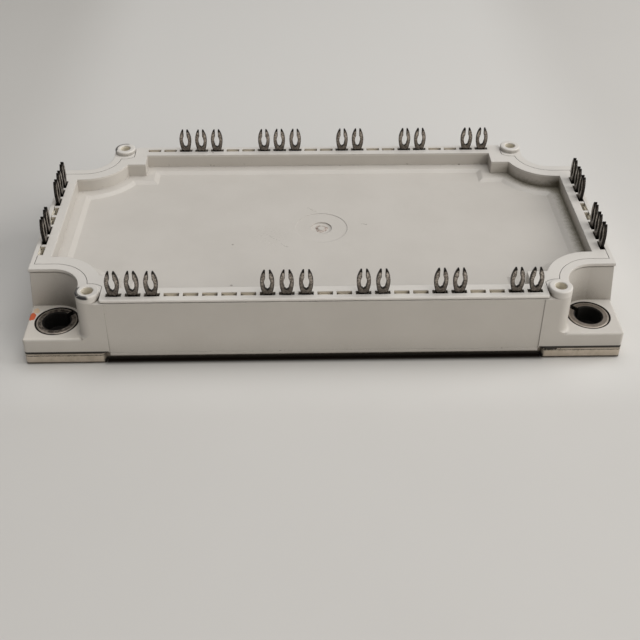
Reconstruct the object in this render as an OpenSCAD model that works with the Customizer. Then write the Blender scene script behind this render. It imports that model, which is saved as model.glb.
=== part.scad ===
// Press-fit power semiconductor module: a nickel-plated base plate carries three ceramic
// substrates, a moulded frame with press-fit pins on all four sides, and a tray-shaped lid.
// The origin is the centre of the base plate's underside. Millimetres, +Z up.

/* [Footprint] */
// Length of the module
module_l = 122; // [116:1:134]
// Width of the module
module_w = 62; // [58:1:70]
// Distance from the outer edges to the centres of the screw holes
hole_inset = 6; // [5.8:0.1:6.6]
// Diameter of the screw holes
hole_d = 5.5; // [4.5:0.1:6]
// Plan radius of the outer corners
corner_r = 0.7; // [0.6:0.1:2.5]

/* [Levels] */
// Thickness of the base plate
plate_t = 3; // [2:0.5:5]
// Height of the corner ears above the base plate
ear_h = 3.5; // [3.4:0.1:5]
// Height of the side walls above the base plate
wall_h = 12.3; // [11.5:0.1:15]
// Thickness of the lid's rim, which lies on the walls
rim_t = 0.7; // [0.5:0.1:1.2]
// Rise of the screw domes above the rim
dome_rise = 1; // [0.5:0.1:2]
// Rise of the pin tips above the rim
tip_rise = 5.7; // [5.3:0.1:6]

/* [Base plate] */
// Gap between the plate's edge and the frame's outer face
plate_inset = 0.05; // [0:0.05:0.4]
// Distance from the short edges to the start of the long recesses
tab_l = 16.4; // [14:0.2:17.4]
// Depth of the recesses in the long edges
recess_depth = 1.1; // [0.6:0.1:1.6]
// Radius of the plate's lower edges
plate_foot_r = 0.5; // [0.2:0.1:0.8]
// Radius of the plate's upper outer edges
plate_top_r = 0.25; // [0.1:0.05:0.4]

/* [Bushes] */
// Outer diameter of the rolled steel bushes
bush_d = 8.6; // [7.6:0.1:9]
// Width of the split in each bush
bush_split = 1.3; // [0.6:0.1:2]
// Chamfer at the bush's upper edges
bush_chamfer = 0.2; // [0.1:0.05:0.3]
// Diameter of the relief in the ear round the top of each bush
relief_d = 9; // [8.8:0.1:9.4]
// Depth of the relief
relief_depth = 0.6; // [0.3:0.1:1]

/* [Corner notches] */
// Distance from the short edges to the inner side of a notch
notch_inset_x = 11.55; // [11:0.05:12.4]
// Distance from the long edges to the inner side of a notch
notch_inset_y = 11.05; // [10.6:0.05:12]
// Radius of the inner corner of a notch
notch_r = 6.05; // [5:0.05:7]
// Depth of the shadow groove under the top edge of a notch
groove_depth = 0.5; // [0.2:0.05:0.8]
// Height of the shadow groove
groove_h = 0.25; // [0.1:0.05:0.5]

/* [Screw domes] */
// Diameter of the screw domes
dome_d = 4.8; // [4.2:0.1:5.2]
// Radius of the domes' upper edge
dome_round_r = 0.35; // [0.1:0.05:0.5]
// Radius of the cove between a dome's column and its ear
dome_cove_r = 0.9; // [0.4:0.1:1]
// Diameter of the screw holes in the domes
dome_hole_d = 2.4; // [2:0.1:2.8]
// Depth of the screw holes in the domes
dome_hole_depth = 9; // [5:0.5:10]
// Chamfer at the mouth of the screw holes in the domes
dome_lead = 0.2; // [0.1:0.05:0.4]
// Width of the frame's ring round a dome, at the rim
dome_ring_w = 1.2; // [0.8:0.1:1.5]

/* [Frame] */
// Radius of the ears' upper edges
ear_round_r = 0.5; // [0.2:0.1:0.8]
// Width of the long walls above the pin ledge
wall_w_long = 2.95; // [2.85:0.05:3.1]
// Width of the short walls above the pin ledge
wall_w_short = 2.8; // [2.7:0.05:3]
// Width of the walls round the notches
wall_w_notch = 2.15; // [1.9:0.05:2.4]
// Height of the pin ledge above the base plate
ledge_h = 3.3; // [3:0.1:3.4]
// Width of the long walls at the pin ledge
ledge_w_long = 4.7; // [4.4:0.1:5]
// Width of the short walls at the pin ledge
ledge_w_short = 13.8; // [13:0.1:14.4]
// Drop of the skirt over the recessed long edges of the plate
skirt_drop = 0.8; // [0.5:0.05:1.6]
// Gap between the skirt and the plate's recessed edge
skirt_gap = 0.1; // [0.05:0.01:0.2]
// Lean of the short walls, from foot to top
lean_short = 0.65; // [0:0.05:0.8]
// Set-back of the strip at the rim of the short walls
strip_back = 0.45; // [0.3:0.05:0.6]
// Overhang of the strip at the rim of the notches
strip_overhang = 0.15; // [0.05:0.01:0.25]
// Distance from the short edges to the sunken panels of the long walls
panel_inset = 17.3; // [17:0.1:20]
// Sink of those panels behind the ears
panel_sink = 0.12; // [0.05:0.01:0.25]
// Thickness of the inner walls beside the domes' columns
boss_wall_x = 0.8; // [0.6:0.1:1.2]
// Thickness of the inner walls behind the domes' columns
boss_wall_y = 1.3; // [1:0.1:1.6]
// Gap round a pin where it leaves the frame
pocket_gap = 0.1; // [0.05:0.01:0.15]
// Depth of that gap below the walls' top on the long sides
pocket_depth_long = 1.5; // [0.5:0.1:3]
// Depth of that gap below the walls' top on the short sides
pocket_depth_short = 4.3; // [2:0.1:5]

/* [Lid] */
// Width of the lid's rim round the tray
rim_w = 4.4; // [4.2:0.05:4.8]
// Width of the frame's own strip round the notches
strip_w = 1.9; // [1.6:0.05:2]
// Width of the frame's own strip along the short edges
strip_w_short = 1.45; // [1.4:0.01:1.5]
// Step of the lid's bars behind the frame's long faces
bar_step = 0.25; // [0.1:0.05:0.4]
// Radius of the bars' upper outer edges and of their ends
bar_round_r = 0.4; // [0.1:0.05:0.45]
// Height of the shadow gap under the lid's bars
bar_gap_h = 0.15; // [0.1:0.01:0.25]
// Depth of the shadow gap under the lid's bars
bar_gap_w = 0.4; // [0.2:0.1:0.6]
// Gap between lid and frame along the parting line
parting_gap = 0.1; // [0.05:0.01:0.2]
// Depth of the tray, from the rim to its border ledge
tray_depth = 3.2; // [2.4:0.1:4]
// Width of the tray's border ledge
border_w = 2.1; // [1.5:0.1:3]
// Run of the slope from the border ledge to the tray floor
slope_run = 1.1; // [0.5:0.1:2]
// Drop of the tray floor below its border ledge
slope_drop = 0.5; // [0.2:0.05:1]
// Thickness of the tray's walls and floor
tray_t = 1.2; // [0.8:0.1:1.4]
// Distance of the tray's jog from a dome's centre, along the module
jog_x = 5.5; // [5:0.1:6]
// Distance of the tray's jog from a dome's centre, across the module
jog_y = 6.3; // [6:0.1:7]
// Diameter of the moulding mark in the tray floor
gate_d = 11.6; // [8:0.1:14]
// Diameter of the dimple in the moulding mark
dimple_d = 4.6; // [3:0.1:6]
// Sink of the moulding mark below the tray floor
gate_sink = 0.08; // [0.04:0.01:0.2]
// Sink of the dimple below the tray floor
dimple_sink = 0.35; // [0.25:0.05:0.6]
// Height of the sprue stub in the dimple
stub_h = 0.2; // [0.1:0.05:0.25]

/* [Press-fit pins] */
// Pitch of the pin slots
pin_pitch = 3.81; // [3.7:0.01:3.85]
// Distance from the long edges to the pin rows
row_inset_long = 2.1; // [2.05:0.01:2.15]
// Distance from the short edges to the pin rows
row_inset_short = 1.945; // [1.9:0.005:2]
// Thickness of the pin strip
pin_t = 0.64; // [0.5:0.01:0.7]
// Width of the pin's shank
shank_w = 1.7; // [1.5:0.05:2]
// Greatest width of the fork
fork_w = 2.8; // [2.5:0.05:2.95]
// Height of the fork's widest place above the rim
fork_belly = 3; // [2.6:0.1:3.2]
// Width of each of the fork's tips
fork_tip_w = 0.36; // [0.3:0.02:0.44]
// Half width of the fork's eye
eye_half_w = 0.64; // [0.5:0.01:0.7]
// Half height of the fork's eye
eye_half_h = 1.75; // [1.4:0.05:2]
// Drop of the eye's middle below the fork's widest place
eye_drop = 0.2; // [0:0.05:0.4]
// Radius of the rounded foot of the eye
eye_foot_r = 0.46; // [0.3:0.02:0.5]
// Height of that rounding's centre above the rim
eye_foot_h = 1.68; // [1.5:0.02:1.8]
// Height of the eye's upper end above the fork's widest place
throat_h = 0.9; // [0.7:0.1:1.3]
// Width of the gap between the fork's tips
throat_w = 0.74; // [0.6:0.01:0.8]
// Inner bend radius of the pin's foot
bend_r = 0.3; // [0.2:0.05:0.5]
// Length of a slot in the lid
slot_l = 3.06; // [3:0.02:3.2]
// Width of a slot in the lid, outward of the pin row
slot_out = 0.54; // [0.46:0.02:0.6]
// Width of a slot in the lid, inward of the pin row
slot_in = 0.54; // [0.46:0.02:0.6]
// Set-back of a pin's foot from the edge of its ledge, on the long sides
foot_back_long = 0.3; // [0.2:0.05:0.5]
// Set-back of a pin's foot from the edge of its ledge, on the short sides
foot_back_short = 1.2; // [0.4:0.1:2]

/* [Power circuit] */
// Gap between neighbouring substrates
substrate_gap = 1; // [0.6:0.1:2]
// Clearance of the substrates to the frame
substrate_clear = 1.2; // [1:0.1:2]
// Margin from the ceramic's edge to its copper
copper_margin = 0.8; // [0.5:0.1:1.2]
// Length of the pads across the module
pad_l = 3.2; // [2.8:0.1:3.6]
// Width of a pad beside a pin
pad_w = 2.9; // [2:0.1:3.3]
// Gap between the pads and the main copper, and between the main coppers
pad_gap = 0.9; // [0.5:0.1:1.2]
// Width of the return copper that the diodes are wired to
return_w = 2.6; // [2:0.1:3]
// Thickness of the solder under a substrate
solder_t = 0.2; // [0.1:0.05:0.3]
// Thickness of a copper layer
copper_t = 0.3; // [0.2:0.05:0.4]
// Thickness of the ceramic
ceramic_t = 0.4; // [0.3:0.05:0.6]
// Side of a transistor chip
igbt_side = 9.5; // [6:0.5:10]
// Side of a diode chip
diode_side = 6.5; // [4:0.5:8]
// Thickness of a chip
chip_t = 0.25; // [0.15:0.05:0.4]
// Length of the temperature sensor
sensor_l = 3; // [2:0.1:3.2]
// Width of the temperature sensor
sensor_w = 1.6; // [1:0.1:2]
// Height of the temperature sensor
sensor_h = 0.8; // [0.5:0.1:1.2]
// Diameter of a bond wire
wire_d = 0.4; // [0.3:0.05:0.5]
// Distance of a bond from the edge that it lands by
bond_inset = 0.5; // [0.4:0.05:0.6]
// Height of the silicone gel above the base plate
gel_h = 6.6; // [6.3:0.1:7]

/* [Hidden] */
CORNERS = ["front_left", "front_right", "back_right", "back_left"];
PLACES = ["left", "middle", "right"];

// Places shared by several pieces, in the quarter where x and y are positive
hole_x = module_l / 2 - hole_inset;
hole_y = module_w / 2 - hole_inset;
notch_side_x = module_l / 2 - notch_inset_x;
notch_side_y = module_w / 2 - notch_inset_y;
notch_x = notch_side_x + notch_r;
notch_y = notch_side_y + notch_r;
dome_r = dome_d / 2;
dome_x = notch_side_x - dome_r;
dome_y = module_w / 2 - dome_r;
bar_end_x = dome_x - dome_r - parting_gap;
boss_x = bar_end_x - boss_wall_x;
boss_y = dome_y - dome_r - boss_wall_y;
recess_x = module_l / 2 - tab_l;
panel_x = module_l / 2 - panel_inset;
plate_x = module_l / 2 - plate_inset;
plate_y = module_w / 2 - plate_inset;
recess_round_r = 0.8 * recess_depth;

// Rows of slots. As many stand on the grid as fit between the ends: an odd number in the front
// row, which has one in its middle, and an even number in the others.
row_y = module_w / 2 - row_inset_long;
row_x = module_l / 2 - row_inset_short;
foot_long = ledge_w_long - row_inset_long - foot_back_long;
foot_short = ledge_w_short - row_inset_short - foot_back_short;
long_run = (bar_end_x - slot_l / 2) / pin_pitch;
short_run = (notch_side_y - strip_w - slot_l / 2) / pin_pitch;
front_slots = 2 * floor(long_run) + 1;
back_slots = 2 * floor(long_run + 0.5);
side_slots = 2 * floor(short_run + 0.5);

// Each row: name, turn about z, distance from the centre, reach of the pins' feet, number of
// slots, and the groups of pins, counted anticlockwise round the module. A group has its place
// as a share of the room that it has along the row, and its number of pins.
ROWS = [
    ["front", 0, row_y, foot_long, front_slots, [[0, 3], [0.4, 3], [0.62, 2], [0.81, 2], [1, 2]]],
    ["right", 90, row_x, foot_short, side_slots, [[0, 3], [1, 3]]],
    ["back", 180, row_y, foot_long, back_slots, [[0, 2], [0.2, 2], [0.4, 2], [0.63, 3], [0.9, 3]]],
    ["left", -90, row_x, foot_short, side_slots, [[0, 3], [0.84, 2]]]
];

function pin_slots(row) = [
    for (group = row[5], n = [0 : group[1] - 1]) round(group[0] * (row[4] - group[1])) + n
];
function on_short_side(row) = row[1] % 180 != 0;
function two_digits(n) = n < 10 ? str("0", n) : str(n);
function pin_name(row, n) = str("pin_", row[0], "_", two_digits(n + 1));

$fn = 64;
eps = 0.05;
big = 40;

// Levels
ear_z = plate_t + ear_h;
ledge_z = plate_t + ledge_h;
seam_z = plate_t + wall_h;
rim_z = seam_z + rim_t;
dome_z = rim_z + dome_rise;
tip_z = rim_z + tip_rise;
border_z = rim_z - tray_depth;
floor_z = border_z - slope_drop;
gel_z = plate_t + gel_h;

// Substrates
cavity_x = module_l / 2 - ledge_w_short;
cavity_y = module_w / 2 - ledge_w_long;
ceramic_y = cavity_y - substrate_clear;
ceramic_l = (2 * (cavity_x - substrate_clear) - 2 * substrate_gap) / 3;
substrate_pitch = ceramic_l + substrate_gap;
copper_x = ceramic_l / 2 - copper_margin;
copper_y = ceramic_y - copper_margin;
main_y = copper_y - pad_l - pad_gap;
circuit_z = plate_t + solder_t + 2 * copper_t + ceramic_t;
foot_z = ledge_z + pin_t;
wire_r = wire_d / 2;
chip_x = copper_x / 2;
chip_y = (copper_y - pad_l) / 2;

// ---------------------------------------------------------------- shared shapes

// Repeats its children in all four quarters.
module each_corner() {
    for (i = [0, 1], j = [0, 1])
        mirror([i, 0, 0]) mirror([0, j, 0]) children();
}

// Stands a profile drawn in x and z upright, with its thickness along y.
module upright(thickness) {
    rotate([90, 0, 0]) linear_extrude(height = thickness, center = true) children();
}

// What a rounding takes off a corner that points to +x and +y.
module corner_offcut(r) {
    translate([-r, -r]) difference() {
        square(r + eps);
        circle(r = r);
    }
}

// What a rounding takes off an edge that runs along x and points to +y and +z.
module edge_offcut(l, r) {
    rotate([90, 0, 90]) linear_extrude(height = l, center = true) corner_offcut(r);
}

// Rectangle with rounded corners, centred.
module rounded_rect(l, w, r) {
    difference() {
        square([l, w], center = true);
        each_corner() translate([l / 2, w / 2]) corner_offcut(r);
    }
}

// Plan of a corner notch, grown into the module by the given width.
module notch_plan(grow) {
    translate([notch_x, notch_y]) circle(r = notch_r + grow);
    translate([notch_x, notch_side_y - grow]) square(big);
    translate([notch_side_x - grow, notch_y]) square(big);
}

// Plan of the frame's ring and end wall round a dome, with the lid's bar end beside it.
module dome_plan(grow) {
    ring_r = dome_r + dome_ring_w + grow;
    flat_y = dome_y - sqrt(ring_r * ring_r - pow(dome_x - bar_end_x + grow, 2));
    translate([bar_end_x - grow, flat_y]) square(big);
    intersection() {
        translate([dome_x, dome_y]) circle(r = ring_r);
        translate([0, flat_y - big]) square([2 * big, big]);
    }
}

// Plan of the lid's rim, grown by the given gap; its bars end at the given half width.
module rim_plan(gap, half_w) {
    difference() {
        square([module_l - 2 * strip_w_short + 2 * gap, 2 * half_w], center = true);
        each_corner() {
            notch_plan(strip_w - gap);
            dome_plan(-gap);
        }
    }
}

// Plan of the tray, grown by the given wall.
module tray_plan(grow) {
    difference() {
        square([module_l - 2 * rim_w + 2 * grow, module_w - 2 * rim_w + 2 * grow], center = true);
        each_corner() {
            notch_plan(rim_w - grow);
            translate([dome_x - jog_x + grow, dome_y - jog_y + grow]) square(big);
        }
    }
}

// Plan of the space inside the frame, above the pin ledge.
module cavity_plan() {
    difference() {
        square([module_l - 2 * wall_w_short, module_w - 2 * wall_w_long], center = true);
        each_corner() {
            notch_plan(wall_w_notch);
            translate([boss_x, boss_y]) square(big);
        }
    }
}

// Puts its children at one slot of a row: x runs along the row and y points inward.
module at_slot(row, slot) {
    rotate([0, 0, row[1]])
        translate([(slot - (row[4] - 1) / 2) * pin_pitch, -row[2], 0]) children();
}

// ---------------------------------------------------------------- base plate and bushes

// Recess in a long edge of the plate, whose ends round over into the tabs.
module edge_recess() {
    r = recess_round_r;
    translate([0, plate_y - recess_depth / 2 + eps])
        square([2 * recess_x, recess_depth + 2 * eps], center = true);
    for (side = [-1, 1]) difference() {
        translate([side * (recess_x + r / 2), plate_y - r / 2 + eps])
            square([r + eps, r + 2 * eps], center = true);
        translate([side * (recess_x + r), plate_y - r]) circle(r = r);
    }
}

// What the roundings take off the upper and the lower edge of one side of the plate.
module plate_offcuts(l) {
    translate([0, 0, plate_t]) edge_offcut(l, plate_top_r);
    mirror([0, 0, 1]) edge_offcut(l, plate_foot_r);
}

module base_plate() {
    color("#b5ada3") difference() {
        linear_extrude(height = plate_t) difference() {
            rounded_rect(2 * plate_x, 2 * plate_y, corner_r - plate_inset);
            edge_recess();
            mirror([0, 1]) edge_recess();
        }
        for (side = [0, 1]) {
            mirror([0, side, 0]) translate([0, plate_y, 0]) plate_offcuts(module_l);
            mirror([0, side, 0]) mirror([0, 0, 1]) translate([0, plate_y - recess_depth, 0])
                edge_offcut(2 * recess_x, plate_foot_r);
            mirror([side, 0, 0]) translate([plate_x, 0, 0]) rotate(-90) plate_offcuts(module_w);
        }
        each_corner() translate([hole_x, hole_y, -eps]) cylinder(d = hole_d, h = plate_t + 2 * eps);
    }
}

// A rolled sleeve with a split that faces the middle of the module.
module bush() {
    color("#7d7570") difference() {
        rotate_extrude($fn = 96) difference() {
            translate([hole_d / 2, 0]) square([(bush_d - hole_d) / 2, ear_h]);
            translate([hole_d / 2, ear_h]) rotate([0, 0, 45]) square(bush_chamfer * sqrt(2), center = true);
            translate([bush_d / 2, ear_h]) rotate([0, 0, 45]) square(bush_chamfer * sqrt(2), center = true);
        }
        translate([-bush_d, -bush_split / 2, -eps]) cube([bush_d, bush_split, ear_h + 2 * eps]);
    }
}

// Puts a bush in its corner, with its split turned inward.
module bush_at(corner) {
    side_x = corner == "front_left" || corner == "back_left" ? -1 : 1;
    side_y = corner == "front_left" || corner == "front_right" ? -1 : 1;
    translate([side_x * hole_x, side_y * hole_y, plate_t]) rotate([0, 0, side_x * side_y * 45])
        rotate([0, 0, side_x > 0 ? 0 : 180]) bush();
}

// ---------------------------------------------------------------- housing

// Half of the walls above the ears, seen from the front: a leaning face, the shadow groove
// and the strip at the rim.
module wall_half() {
    half_l = module_l / 2;
    strip_x = half_l - strip_back;
    groove_z = seam_z - groove_h;
    polygon([
        [0, ear_z - eps], [half_l, ear_z - eps], [half_l, ear_z], [half_l - lean_short, groove_z],
        [strip_x - groove_depth, groove_z], [strip_x - groove_depth, seam_z],
        [strip_x, seam_z], [strip_x, rim_z], [0, rim_z]
    ]);
}

// Walls above the ears, before the notches are cut.
module wall_block() {
    upright(module_w) {
        wall_half();
        mirror([1, 0]) wall_half();
    }
}

// Everything that a corner loses above its ear: the notch, its shadow groove and the
// corner outside the dome.
module corner_cut() {
    translate([0, 0, ear_z]) linear_extrude(height = big) {
        notch_plan(0);
        translate([dome_x, dome_y]) square(big);
    }
    translate([0, 0, ear_z]) linear_extrude(height = wall_h - ear_h) notch_plan(strip_overhang);
    translate([0, 0, seam_z - groove_h]) linear_extrude(height = groove_h)
        notch_plan(groove_depth);
    translate([bar_end_x, dome_y, seam_z]) cube([dome_x - bar_end_x, big, big]);
}

// A dome with its column down to the ear, and a cove where they meet.
module dome() {
    height = dome_z - plate_t;
    cove_w = dome_r + dome_cove_r;
    translate([dome_x, dome_y, plate_t]) rotate_extrude() difference() {
        square([dome_r, height]);
        translate([dome_r, height]) corner_offcut(dome_round_r);
    }
    intersection() {
        translate([dome_x, dome_y, ear_z - eps]) rotate_extrude() difference() {
            square([cove_w, dome_cove_r + eps]);
            translate([cove_w, dome_cove_r + eps]) circle(r = dome_cove_r);
        }
        cube([module_l / 2, module_w / 2, big]);
    }
}

// What the roundings take off an ear, from its dome's column to the wall beside its notch.
module ear_offcuts() {
    start_x = dome_x + 0.7 * dome_r;
    run_x = module_l / 2 - start_x + eps;
    run_y = module_w / 2 - notch_side_y + eps;
    translate([start_x + run_x / 2, module_w / 2, ear_z]) edge_offcut(run_x, ear_round_r);
    translate([module_l / 2, notch_side_y + run_y / 2, ear_z]) rotate(-90)
        edge_offcut(run_y, ear_round_r);
}

// Screw hole of a dome, with a chamfered mouth.
module dome_hole() {
    translate([dome_x, dome_y, dome_z - dome_hole_depth])
        cylinder(d = dome_hole_d, h = dome_hole_depth + eps);
    translate([dome_x, dome_y, dome_z - dome_lead + eps])
        cylinder(d1 = dome_hole_d, d2 = dome_hole_d + 2 * dome_lead, h = dome_lead);
}

// Skirts that hang over the recessed long edges of the base plate.
module skirts() {
    skirt_w = recess_depth + plate_inset - skirt_gap;
    half_l = recess_x - recess_round_r - skirt_gap;
    for (side = [0, 1]) mirror([0, side, 0])
        translate([-half_l, module_w / 2 - skirt_w, plate_t - skirt_drop])
            cube([2 * half_l, skirt_w, skirt_drop + eps]);
}

// Sunken panels in the long faces, between the ears, which end just under the plate's top.
module panels() {
    for (side = [0, 1]) mirror([0, side, 0])
        translate([-panel_x, module_w / 2 - panel_sink, plate_t - skirt_gap])
            cube([2 * panel_x, big, wall_h + 2 * skirt_gap]);
}

// Space round a pin where it leaves the frame: deep on the short sides, shallow on the long.
module pin_pocket(depth) {
    pocket_l = slot_l - 2 * pocket_gap;
    pocket_w = pin_t + 2 * pocket_gap;
    translate([-pocket_l / 2, -pocket_w / 2, seam_z - depth])
        cube([pocket_l, pocket_w, depth + rim_t + eps]);
}

// Pockets at every slot of the short sides, and at the pins of the long sides.
module pin_pockets() {
    for (row = ROWS) {
        slots = on_short_side(row) ? [0 : row[4] - 1] : pin_slots(row);
        depth = on_short_side(row) ? pocket_depth_short : pocket_depth_long;
        for (slot = slots) at_slot(row, slot) pin_pocket(depth);
    }
}

module housing() {
    color("#d8d3c8") difference() {
        union() {
            difference() {
                wall_block();
                each_corner() corner_cut();
            }
            translate([0, 0, plate_t]) linear_extrude(height = ear_h)
                rounded_rect(module_l, module_w, corner_r);
            skirts();
            each_corner() dome();
        }
        panels();
        translate([0, 0, ledge_z]) linear_extrude(height = big) cavity_plan();
        translate([0, 0, plate_t - eps]) linear_extrude(height = ledge_h + 2 * eps)
            rounded_rect(2 * cavity_x, 2 * cavity_y, corner_r);
        translate([0, 0, seam_z]) linear_extrude(height = dome_z) rim_plan(parting_gap, module_w);
        each_corner() {
            translate([hole_x, hole_y, plate_t - eps]) cylinder(d = bush_d, h = ear_h + 2 * eps);
            translate([hole_x, hole_y, ear_z - relief_depth]) cylinder(d = relief_d, h = relief_depth + eps);
            dome_hole();
            ear_offcuts();
        }
        pin_pockets();
        each_pin() pin_shank($reach);
    }
}

// ---------------------------------------------------------------- lid

// The half space beyond a slope, which the tray floor's edge follows.
module slope_beyond(top_at, axis) {
    rotate([0, 0, axis == "x" ? 0 : 90]) rotate([90, 0, 0])
        linear_extrude(height = 4 * big, center = true)
            polygon([
                [top_at, border_z + eps], [top_at, border_z], [top_at - slope_run, floor_z],
                [top_at - slope_run, floor_z - eps], [4 * big, floor_z - eps],
                [4 * big, border_z + eps]
            ]);
}

// Solid left where a slope across x and another across y both apply.
module slopes_beyond(side_x, side_y) {
    intersection() {
        slope_beyond(side_x, "x");
        slope_beyond(side_y, "y");
    }
}

// Floor of the tray below its border ledge, with sloped sides that follow the tray's plan.
module tray_well() {
    side_x = module_l / 2 - rim_w - border_w;
    side_y = module_w / 2 - rim_w - border_w;
    reach = rim_w + border_w;
    difference() {
        translate([-side_x, -side_y, floor_z])
            cube([2 * side_x, 2 * side_y, slope_drop + eps]);
        each_corner() {
            slope_beyond(side_x, "x");
            slope_beyond(side_y, "y");
            translate([notch_x, notch_y, floor_z - eps]) cylinder(
                r1 = notch_r + reach + slope_run * (1 + eps / slope_drop),
                r2 = notch_r + reach - slope_run * eps / slope_drop,
                h = slope_drop + 2 * eps
            );
            intersection() {
                translate([notch_x, 0, 0]) cube(4 * big);
                slope_beyond(notch_side_y - reach, "y");
            }
            slopes_beyond(dome_x - jog_x - border_w, dome_y - jog_y - border_w);
        }
    }
}

// Slots for the press-fit pins; those on the short sides open to the lid's edge.
module lid_slots() {
    for (row = ROWS, slot = [0 : row[4] - 1]) {
        out = on_short_side(row) ? row_inset_short : slot_out;
        at_slot(row, slot) translate([-slot_l / 2, -out, seam_z - eps])
            cube([slot_l, out + slot_in, rim_t + 2 * eps]);
    }
}

// Moulding mark in the middle of the tray: a shallow dish with a dimple and a sprue stub.
module gate_mark() {
    difference() {
        union() {
            translate([0, 0, floor_z - gate_sink]) cylinder(d = gate_d, h = gate_sink + eps);
            translate([0, 0, floor_z - dimple_sink]) cylinder(d = dimple_d, h = dimple_sink);
        }
        translate([0, 0, floor_z - dimple_sink - eps]) cylinder(d = dimple_d / 3, h = stub_h + eps);
    }
}

module lid() {
    bar_half_w = module_w / 2 - bar_step;
    color("#dcd7cd") difference() {
        union() {
            translate([0, 0, seam_z]) linear_extrude(height = rim_t) rim_plan(0, bar_half_w);
            translate([0, 0, floor_z - tray_t]) linear_extrude(height = seam_z - floor_z + tray_t + eps)
                tray_plan(tray_t);
        }
        translate([0, 0, border_z]) linear_extrude(height = big) tray_plan(0);
        tray_well();
        gate_mark();
        lid_slots();
        for (side = [0, 1]) mirror([0, side, 0]) {
            translate([-module_l / 2, bar_half_w - bar_gap_w, seam_z - eps])
                cube([module_l, big, bar_gap_h + eps]);
            translate([0, bar_half_w, rim_z]) edge_offcut(2 * bar_end_x, bar_round_r);
        }
        each_corner() translate([bar_end_x, bar_half_w, seam_z - eps])
            linear_extrude(height = rim_t + 2 * eps) corner_offcut(bar_round_r);
    }
}

// ---------------------------------------------------------------- press-fit pins

// Shape shared by two circles that overlap, as tall as they cross.
module lens(half_w, r) {
    intersection() {
        translate([half_w - r, 0]) circle(r = r, $fn = 128);
        translate([r - half_w, 0]) circle(r = r, $fn = 128);
    }
}

// Radius of an arc that is upright at its side and moves in by "sink" over "rise".
function side_arc(sink, rise) = (rise * rise + sink * sink) / (2 * sink);

// The fork seen from the front: two bowed arms round an oval eye, open at the top.
module fork_profile() {
    belly_z = rim_z + fork_belly;
    tip_r = fork_tip_w / 2;
    tip_h = tip_rise - fork_belly - 0.8 * tip_r;
    low_r = side_arc((fork_w - shank_w) / 2, fork_belly);
    high_r = side_arc((fork_w - throat_w) / 2 - fork_tip_w, tip_h);
    eye_r = side_arc(eye_half_w, eye_half_h);
    difference() {
        union() {
            intersection() {
                translate([0, belly_z]) lens(fork_w / 2, low_r);
                translate([-fork_w, rim_z]) square([2 * fork_w, fork_belly]);
            }
            intersection() {
                translate([0, belly_z]) lens(fork_w / 2, high_r);
                translate([-fork_w, belly_z - eps]) square([2 * fork_w, tip_h + eps]);
            }
            for (side = [-1, 1])
                translate([side * (throat_w / 2 + tip_r), tip_z - tip_r]) circle(r = tip_r);
        }
        translate([0, belly_z - eye_drop]) lens(eye_half_w, eye_r);
        translate([0, rim_z + eye_foot_h]) circle(r = eye_foot_r);
        translate([-throat_w / 2, belly_z + throat_h]) square([throat_w, big]);
    }
}

// Side of the shank: upright strip, rounded bend and level foot.
module foot_profile(reach) {
    outer_r = bend_r + pin_t;
    bend_y = outer_r - pin_t / 2;
    translate([-pin_t / 2, ledge_z + outer_r]) square([pin_t, rim_z - ledge_z - outer_r]);
    translate([bend_y, ledge_z]) square([reach - bend_y, pin_t]);
    intersection() {
        translate([bend_y, ledge_z + outer_r]) difference() {
            circle(r = outer_r);
            circle(r = bend_r);
        }
        translate([-pin_t / 2, ledge_z]) square(outer_r);
    }
}

// Shank and foot of a pin, whose foot reaches inward.
module pin_shank(reach) {
    rotate([90, 0, 90]) linear_extrude(height = shank_w, center = true) foot_profile(reach);
}

module press_fit_pin(reach) {
    color("#6f6660") {
        upright(pin_t) fork_profile();
        pin_shank(reach);
    }
}

// Puts its children at every pin, with the reach of its foot in $reach.
module each_pin() {
    for (row = ROWS, slot = pin_slots(row)) let ($reach = row[3]) at_slot(row, slot) children();
}

// ---------------------------------------------------------------- power circuit

// Puts its children on one substrate; 0 is the left one.
module at_substrate(place) {
    translate([(place - 1) * substrate_pitch, 0, 0]) children();
}

module solder(place) {
    color("#9a9a9c") at_substrate(place) translate([0, 0, plate_t])
        linear_extrude(height = solder_t) square([2 * copper_x, 2 * copper_y], center = true);
}

module back_copper(place) {
    color("#b8734a") at_substrate(place) translate([0, 0, plate_t + solder_t])
        linear_extrude(height = copper_t) square([2 * copper_x, 2 * copper_y], center = true);
}

module ceramic(place) {
    color("#e9e7e1") at_substrate(place) translate([0, 0, plate_t + solder_t + copper_t])
        linear_extrude(height = ceramic_t) square([ceramic_l, 2 * ceramic_y], center = true);
}

// One pad under the foot of each long-side pin that stands over this substrate.
module signal_pads(place) {
    left = (place - 1) * substrate_pitch - copper_x;
    for (row = ROWS) if (!on_short_side(row)) for (slot = pin_slots(row)) {
        turn = row[1] == 0 ? 1 : -1;
        pin_x = turn * (slot - (row[4] - 1) / 2) * pin_pitch;
        low = max(pin_x - pad_w / 2, left);
        high = min(pin_x + pad_w / 2, left + 2 * copper_x);
        if (high - low > pad_w / 3) translate([low, turn > 0 ? -copper_y : copper_y - pad_l])
            square([high - low, pad_l]);
    }
}

// Upper copper: the pads of the upper switch, of the lower switch and of the return, which
// lie one behind the other, and the signal pads.
module circuit_copper(place) {
    pads = [
        [pad_gap / 2, main_y],
        [return_w + pad_gap - main_y, -pad_gap / 2],
        [-main_y, return_w - main_y]
    ];
    color("#c07f52") translate([0, 0, circuit_z - copper_t]) linear_extrude(height = copper_t) {
        signal_pads(place);
        if (place == 1) translate([-sensor_l / 2, -copper_y]) square([sensor_l, pad_l]);
        for (pad = pads) translate([(place - 1) * substrate_pitch - copper_x, pad[0]])
            square([2 * copper_x, pad[1] - pad[0]]);
    }
}

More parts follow.
